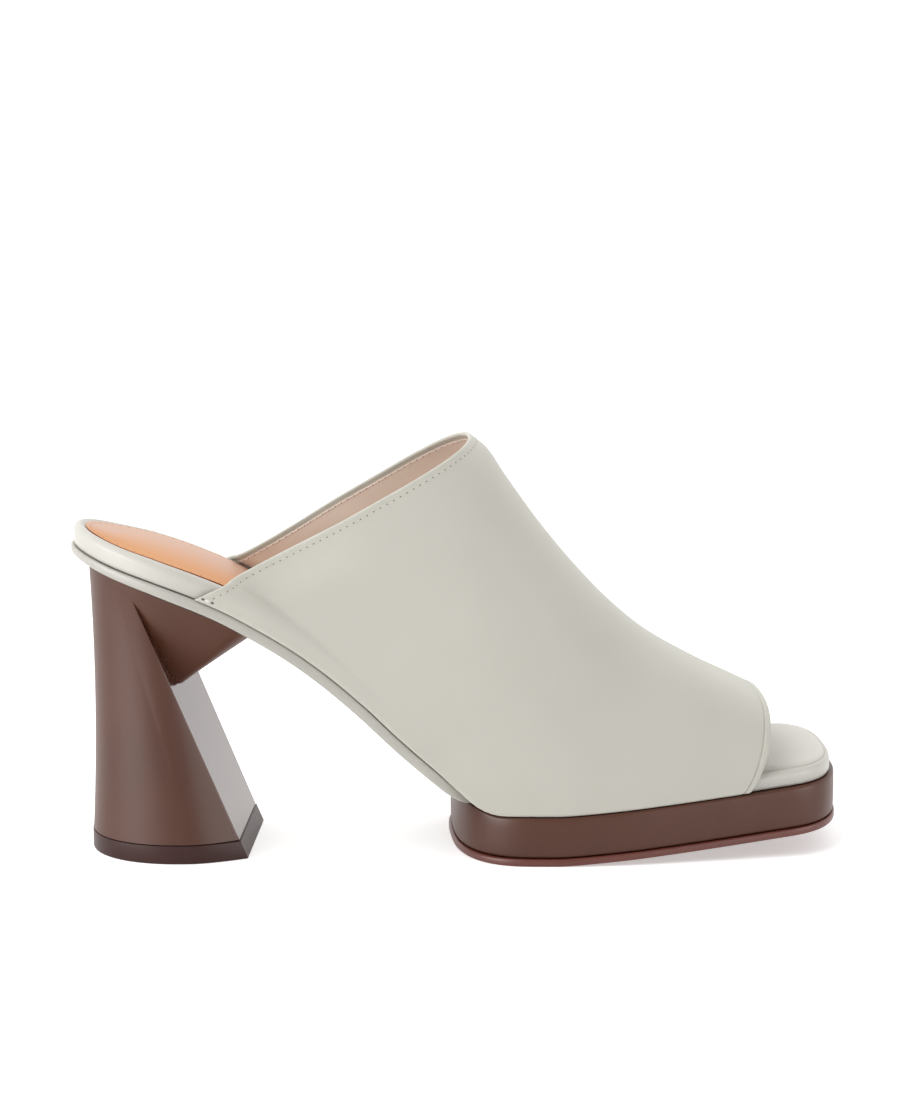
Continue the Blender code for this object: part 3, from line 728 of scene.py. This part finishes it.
# A closed layer of a grid: its two free edges are rounded off, its feather edges closed flat
def shell(name, grid, normals, depth, thickness, firstRow, lastRow, material):
    half = np.broadcast_to(thickness, grid.shape[:2])[..., None] / 2
    middle = grid - normals * (depth + half)
    forward = unitRows(np.gradient(grid, axis=0))
    outer, inner = [], []

    def add(row, turn, direction):
        reach = direction * forward[row] * half[row] * math.sin(turn)
        outer.append(middle[row] + normals[row] * half[row] * math.cos(turn) + reach)
        inner.append(middle[row] - normals[row] * half[row] * math.cos(turn) + reach)

    for turn in rimTurns:
        add(firstRow, turn, -1)
    for row in range(firstRow, lastRow + 1):
        add(row, 0.0, 1)
    for turn in rimTurns[::-1]:
        add(lastRow, turn, 1)
    loop = np.stack(outer + inner[::-1])
    rows, columns = loop.shape[:2]
    faces = []
    for i in range(rows):
        low, high = i * columns, (i + 1) % rows * columns
        faces += [(low + j, high + j, high + j + 1, low + j + 1) for j in range(columns - 1)]
    for i in range(rows // 2 - 1):
        a, b, c, d = (k * columns for k in (i, i + 1, rows - 2 - i, rows - 1 - i))
        faces.append((a, d, c, b))
        e = columns - 1
        faces.append((a + e, b + e, c + e, d + e))
    return linkMesh(name, loop.reshape(-1, 3), faces, material, 50.0)


def makeUpper():
    look, stitch = upperLook, stitchLook
    nearCollar = np.array(look["collarRows"]) * millimetre
    nearToe = np.array(look["toeRows"]) * millimetre
    grid, collar, toeward = upperGrid(nearCollar, nearToe)
    normals = gridNormals(grid)

    share, bandWidth = look["foldShare"], look["bandWidth"]
    swell = look["foldSwell"] * (1 - ease(collar, look["foldFlat"], stitch["inset"] * share))
    channel = stitch["channel"] * np.exp(-((collar - stitch["inset"]) / stitch["channelWidth"]) ** 2)
    groove = look["grooveDepth"] * np.exp(-((toeward - bandWidth) / look["grooveWidth"]) ** 2)
    band = look["foldSwell"] * (1 - ease(toeward, bandWidth * share, bandWidth))
    outside = grid + normals * (swell - channel - groove + band)[..., None]
    fromFoot = np.concatenate([np.zeros((len(grid), 1)),
                               np.cumsum(np.linalg.norm(np.diff(grid, axis=1), axis=2), axis=1)], axis=1)
    fromFoot = np.minimum(fromFoot, fromFoot[:, -1:] - fromFoot)
    tuck = look["seamTuck"] * np.clip(1 - fromFoot / look["seamReach"], 0, 1) ** 2
    outside = outside - normals * tuck[..., None]

    nearest = np.minimum(collar, toeward - (liningLook["fromToe"] - liningLook["fromEdge"]))
    liningThick = shoe["wall"] - look["leather"]
    turned = look["leather"] + liningThick * (1 - ease(nearest, look["turnIn"], look["turnEnd"]))
    skin = shell("upperLeather", outside, normals, 0.0, turned, 0, len(grid) - 1,
                 leather("upperFinish", look))
    place(skin, "upper_leather", "upper")
    firstRow = int(np.searchsorted(nearCollar, liningLook["fromEdge"]))
    lastRow = len(grid) - int(np.sum(nearToe < liningLook["fromToe"]))
    lining = shell("upperLining", grid - normals * tuck[..., None] * 0.5, normals,
                   look["leather"] + liningLook["clear"], liningThick, firstRow, lastRow,
                   leather("liningFinish", liningLook))
    place(lining, "upper_leather")

    tack = tackLook
    for side, column in (("outer", tack["column"]), ("inner", -1 - tack["column"])):
        path = outside[:, column]
        # the holes' dark beads are painted shade
        for name, reach, size, shade in (
            ("Tack", tack["at"], tack["size"], tack["colour"]),
            ("TackHoles", tack["holesAt"], tack["holeSize"], tack["hole"]),
        ):
            spots = np.interp(reach, collar[:, column], np.arange(len(grid)))
            facing = unitRows(pick(normals[:, column], spots))
            forward = unitRows(pick(np.gradient(path, axis=0), spots))
            material = newMaterial(side + name + "Shade", {"Base Color": shade, "Roughness": 0.6})[0]
            place(beads(side + name, pick(path, spots), forward, facing, size, material), "upper_leather")

    row = int(np.argmin(np.abs(nearCollar - stitch["inset"])))
    for label, path, out in (
        ("outer", outside[row], normals[row]),
        ("inner", grid[row] - normals[row] * (shoe["wall"] + liningLook["clear"]), -normals[row]),
    ):
        spots = spacedAlong(path, stitch["pitch"], stitch["endGap"], stitch["endGap"])
        thread = newMaterial(label + "Thread", {"Base Color": stitch[label][0], "Roughness": 0.6})[0]
        # the holes' dark beads are painted shade
        hole = newMaterial(label + "HoleShade", {"Base Color": stitch[label][1], "Roughness": 0.9})[0]
        for name, places, size, material in (
            ("Stitches", spots[:-1] + np.diff(spots) / 2, stitch["size"], thread),
            ("StitchHoles", spots, stitch["holeSize"], hole),
        ):
            facing = unitRows(pick(out, places))
            forward = unitRows(pick(np.gradient(path, axis=0), places))
            centres = pick(path, places) + facing * stitch["sink"]
            place(beads(label + name, centres, forward, facing, size, material), "upper_leather")


makeUpper()

# Heel block

heelLook = {
    "colour": tone(84, 50, 36), "shade": tone(78, 45, 32), "cloudSize": 0.024,
    "roughness": 0.43, "polished": 0.19,
    "glossDrift": 0.06, "glossSpeck": 0.06, "grain": 0.10, "grainSize": 0.0006, "grainDepth": 0.00003,
    "specular": 0.28, "edgeRound": 0.0004, "sharpFrom": math.radians(32), "nearFront": 0.00024,
}
heel = {
    "lift": 0.0057, "width": 0.0545, "frontWidth": 0.0440, "inset": 0.0053, "hollow": 0.0012,
    "lean": math.radians(22.6), "turn": math.radians(7.3), "depth": 0.0504, "arc": 0.0302,
    "sideInset": 0.0008, "tipHeight": 0.0530, "tipWidth": 0.0230, "tipLength": 0.0135,
    "tipBulge": 0.0015, "flare": 1.2, "wedgeStart": 0.0070, "wedgeInset": 0.0001,
    "wedgeLength": 0.0520, "wedgeCorner": 0.0060, "cornerDraw": 0.22, "wedgeFront": 0.4,
    "wedgePlan": ((0.0, 0.90), (0.15, 0.97), (0.3, 1.0), (0.5, 1.0), (0.7, 1.0), (0.82, 1.0)),
    "sideStart": 0.5, "frontTaper": 1.6, "topSpread": 1.25, "frontGuess": 0.012, "frontSteps": 40,
}
heelBack = -shoe["length"] / 2 + heel["inset"]
heelFront = heelBack + heel["depth"]


def frontPlane(y, z):  # X of the heel's leaning front face
    return heelFront + y * math.tan(heel["turn"]) - z * math.tan(heel["lean"])


def heelFoot(turn, margin, z):  # outline at the lift, from the lateral front corner round the back
    side = np.where(turn < np.pi / 2, -1, 1)
    deep = np.sin(turn)
    half, frontHalf = heel["width"] / 2 + margin, heel["frontWidth"] / 2 + margin
    centre = heelBack + heel["arc"]
    start, power = heel["sideStart"], 2 / squareness["column"]
    angle = np.arcsin(np.clip((deep - start) / (1 - start), 0, 1))
    ahead = np.clip(1 - deep / start, 0, 1)
    yFront = side * (half - (half - frontHalf) * ahead ** heel["frontTaper"])
    y = np.where(deep > start, side * half * np.cos(angle) ** power, yFront)
    xFront = centre + (frontPlane(yFront, z) + margin - centre) * ahead
    x = np.where(deep > start, centre - (heel["arc"] + margin) * np.sin(angle) ** power, xFront)
    return x, y


def heelTop(turn):  # the matching outline under the sole
    side = np.where(turn < np.pi / 2, -1, 1)
    margin = -heel["sideInset"]
    back = ends(margin)[0]
    tip = back[0] + heel["inset"] - ledge["sole"] - heel["sideInset"]
    fronts = {}
    for s in (-1, 1):
        x = heelBack + heel["frontGuess"]
        for _ in range(heel["frontSteps"]):  # closes in on where the front plane meets the sole
            y = s * halfWidth(x, s, margin, ends(0.0)[0])
            x = 0.5 * x + 0.5 * frontPlane(y, underside(x) - shoe["gap"])
        fronts[s] = float(x)
    corners = np.where(side < 0, fronts[-1], fronts[1])
    x = corners - (corners - tip) * np.sin(turn) ** heel["topSpread"]
    seatEnd = (tip, back[1] - heel["sideInset"], back[2])
    y = np.where(side < 0, -halfWidth(x, -1, margin, seatEnd), halfWidth(x, 1, margin, seatEnd))
    return x, y


def cappedLoop(name, rings, material):
    count = len(rings[0])
    faces = []
    for level in range(len(rings) - 1):
        low, high = level * count, (level + 1) * count
        faces += [(low + i, high + i, high + (i + 1) % count, low + (i + 1) % count) for i in range(count)]
    top = (len(rings) - 1) * count
    for i in range(count // 2):
        a, b, c, d = i, i + 1, count - 1 - i, count - 2 - i
        if b == d:
            faces += [(a, b, c), (top + a, top + c, top + b)]
        elif b < d:
            faces += [(a, b, d, c), (top + a, top + c, top + d, top + b)]
    return linkMesh(name, np.concatenate(rings), faces, material)


def columnRings(levels=60, points=161):
    turn = np.pi * np.linspace(0, 1, points)
    low = heel["lift"] + shoe["gap"]
    x0, y0 = heelFoot(turn, 0.0, low)
    x1, y1 = heelTop(turn)
    high = underside(x1) - shoe["gap"]
    rings = []
    for share in np.linspace(0, 1, levels):
        draw = heel["hollow"] * 4 * share * (1 - share) * np.sin(turn)
        rings.append(np.stack([x0 + (x1 - x0) * share + draw, y0 + (y1 - y0) * share,
                               low + (high - low) * share], axis=1))
    return rings


def wedgeRings(levels=160):
    bend = heel["wedgeCorner"] / heel["wedgeLength"]
    half = list(heel["wedgePlan"]) + [(1 - bend, 1.0)]
    for angle in np.radians((22.5, 45, 67.5, 90)):
        half.append((1 - bend + bend * math.sin(angle), 1 - heel["cornerDraw"] * (1 - math.cos(angle))))
    half.append((1.0, heel["wedgeFront"]))
    plan = [(-1, a, b) for a, b in half] + [(1, a, b) for a, b in half[::-1]]
    rings = []
    for share in np.linspace(0, 1, levels):
        points = []
        for side, along, across in plan:
            topX = heelBack + heel["wedgeStart"] + (heel["wedgeLength"] - heel["wedgeStart"]) * along
            width = halfWidth(topX, side, -heel["sideInset"], ends(0.0)[0]) - heel["wedgeInset"]
            topY = side * across * width
            topX = topX + topY * math.tan(heel["turn"]) * along
            topZ = underside(topX) - shoe["gap"]
            tipY = side * across * heel["tipWidth"] / 2
            tipX = frontPlane(tipY, heel["tipHeight"]) + heel["tipBulge"] - heel["tipLength"] * (1 - along)
            points.append((tipX + (topX - tipX) * share, tipY + (topY - tipY) * share ** heel["flare"],
                           heel["tipHeight"] + (topZ - heel["tipHeight"]) * share))
        rings.append(np.array(points, float))
    return rings


def applied(piece):  # the mesh as its modifiers leave it
    graph = bpy.context.evaluated_depsgraph_get()
    mesh = bpy.data.meshes.new_from_object(piece.evaluated_get(graph))
    piece.modifiers.clear()
    piece.data = mesh
    return piece


def makeHeel():
    look = heelLook
    material = leather("heelFinish", look)
    column = cappedLoop("heelLeather", columnRings(), material)
    wedge = cappedLoop("heelWedge", wedgeRings(), material)
    # The column's edges are rounded before the wedge joins it, so that the seam between them stays crisp
    soften = column.modifiers.new("soften", "BEVEL")
    soften.width, soften.segments, soften.limit_method = look["edgeRound"], 3, "ANGLE"
    soften.angle_limit = look["sharpFrom"]
    applied(column)
    join = column.modifiers.new("wedge", "BOOLEAN")
    join.operation, join.solver, join.object = "UNION", "EXACT", wedge
    applied(column)
    bpy.data.objects.remove(wedge)
    column.data.shade_smooth()
    column.data.set_sharp_from_angle(angle=look["sharpFrom"])
    settle = column.modifiers.new("settle", "WEIGHTED_NORMAL")
    settle.keep_sharp = True
    applied(column)
    points = np.zeros(len(column.data.vertices) * 3)
    column.data.vertices.foreach_get("co", points)
    x, y, z = points.reshape(-1, 3).T
    paint(column, "polished", np.abs(x - frontPlane(y, z)) < look["nearFront"])
    column.data.materials.clear()
    column.data.materials.append(material)
    return place(column, "heel_leather", "heel_block")


makeHeel()

# Top lift

liftLook = {
    "colour": tone(66, 42, 39), "shade": tone(59, 36, 33), "cloudSize": 0.02,
    "roughness": 0.40, "specular": 0.15,
    "glossDrift": 0.08, "glossSpeck": 0.12, "grain": 0.2, "grainSize": 0.0005, "grainDepth": 0.00006,
    "ledge": 0.0002, "round": 0.0004, "points": 241,
}


def makeLift():
    turn = np.pi * np.linspace(0, 1, liftLook["points"])
    radius, out = liftLook["round"], liftLook["ledge"]
    levels = [(out - inset, drop) for inset, drop in rounded(radius, 4)[::-1]]
    levels += [(out, radius), (out, heel["lift"] - radius / 2)]
    levels += [(out - inset / 2, heel["lift"] - drop / 2) for inset, drop in rounded(radius, 4)]
    rings = []
    for margin, z in levels:
        x, y = heelFoot(turn, margin, z)
        rings.append(np.stack([x, y, np.full_like(x, z)], axis=1))
    return place(cappedLoop("topLift", rings, leather("liftFinish", liftLook)), "lift_rubber", "top_lift")


makeLift()

# Floor, light and camera

studio = {
    "floorSize": 160.0, "paper": (0.82, 0.82, 0.82, 1.0), "glow": 0.56,
    "backSky": 1.45, "frontSky": 0.32, "turnFrom": -0.55, "turnTo": 0.25,
    "aim": (0.0, 0.0, 0.06),
}
softboxes = (  # name, place, width and height, radiance, whether it lights matt surfaces too
    ("topBox", (-0.70, -0.42, 1.05), (1.0, 1.0), 3.1, True),
    ("leftSheen", (-1.08, -0.62, 0.24), (1.10, 0.46), 13.0, False),
    ("rightSheen", (0.90, -0.80, 0.24), (0.80, 0.46), 8.0, False),
)
cameraView = {"target": (-0.0018, 0.0, 0.09146), "azimuth": -4.5, "elevation": 10.1, "distance": 0.96273,
              "focalPixels": 3100.0, "longSide": 1100.0, "sensor": 36.0}


def makeFloor():
    half = studio["floorSize"] / 2
    corners = [(-half, -half, 0.0), (half, -half, 0.0), (half, half, 0.0), (-half, half, 0.0)]
    material = newMaterial("floorPaper", {
        "Base Color": studio["paper"], "Roughness": 0.9, "Specular IOR Level": 0.1,
        "Emission Color": studio["paper"], "Emission Strength": studio["glow"],
    })[0]
    linkMesh("floor", corners, [(0, 1, 2, 3)], material)


def makeSky():  # bright behind the shoe and dim on the camera's side, like a photographer's studio
    world = bpy.data.worlds.new("studio")
    world.use_nodes = True
    wire = Wire(world.node_tree)
    where = wire.node("ShaderNodeTexCoord", out="Generated")
    depth = wire.node("ShaderNodeSeparateXYZ", {}, {0: where}, out="Y")
    low, high = studio["frontSky"], studio["backSky"]
    strength = depth.within(studio["turnFrom"], studio["turnTo"]) * (high - low) + low
    world.node_tree.links.new(strength.socket, world.node_tree.nodes["Background"].inputs["Strength"])
    world.node_tree.nodes["Background"].inputs["Color"].default_value = (1.0, 1.0, 1.0, 1.0)
    bpy.context.scene.world = world


def makeLights():
    for name, where, size, radiance, matt in softboxes:
        light = bpy.data.lights.new(name, "AREA")
        light.shape, light.size, light.size_y = "RECTANGLE", *size
        light.energy = radiance * math.pi * size[0] * size[1]
        lamp = bpy.data.objects.new(name, light)
        lamp.location, lamp.visible_diffuse = where, matt
        lamp.rotation_euler = (Vector(studio["aim"]) - Vector(where)).to_track_quat("-Z", "Y").to_euler()
        bpy.context.scene.collection.objects.link(lamp)


def makeCamera():
    view = cameraView
    azimuth, elevation = math.radians(view["azimuth"]), math.radians(view["elevation"])
    back = Vector((math.sin(azimuth) * math.cos(elevation), -math.cos(azimuth) * math.cos(elevation),
                   math.sin(elevation)))
    data = bpy.data.cameras.new("camera")
    data.sensor_width = view["sensor"]
    data.lens = view["focalPixels"] * view["sensor"] / view["longSide"]
    camera = bpy.data.objects.new("camera", data)
    camera.location = Vector(view["target"]) + back * view["distance"]
    camera.rotation_euler = (-back).to_track_quat("-Z", "Y").to_euler()
    bpy.context.scene.collection.objects.link(camera)
    bpy.context.scene.camera = camera


makeFloor()
makeSky()
makeLights()
makeCamera()
bpy.context.scene.view_settings.view_transform = "Standard"
print("made floor, lights and camera")
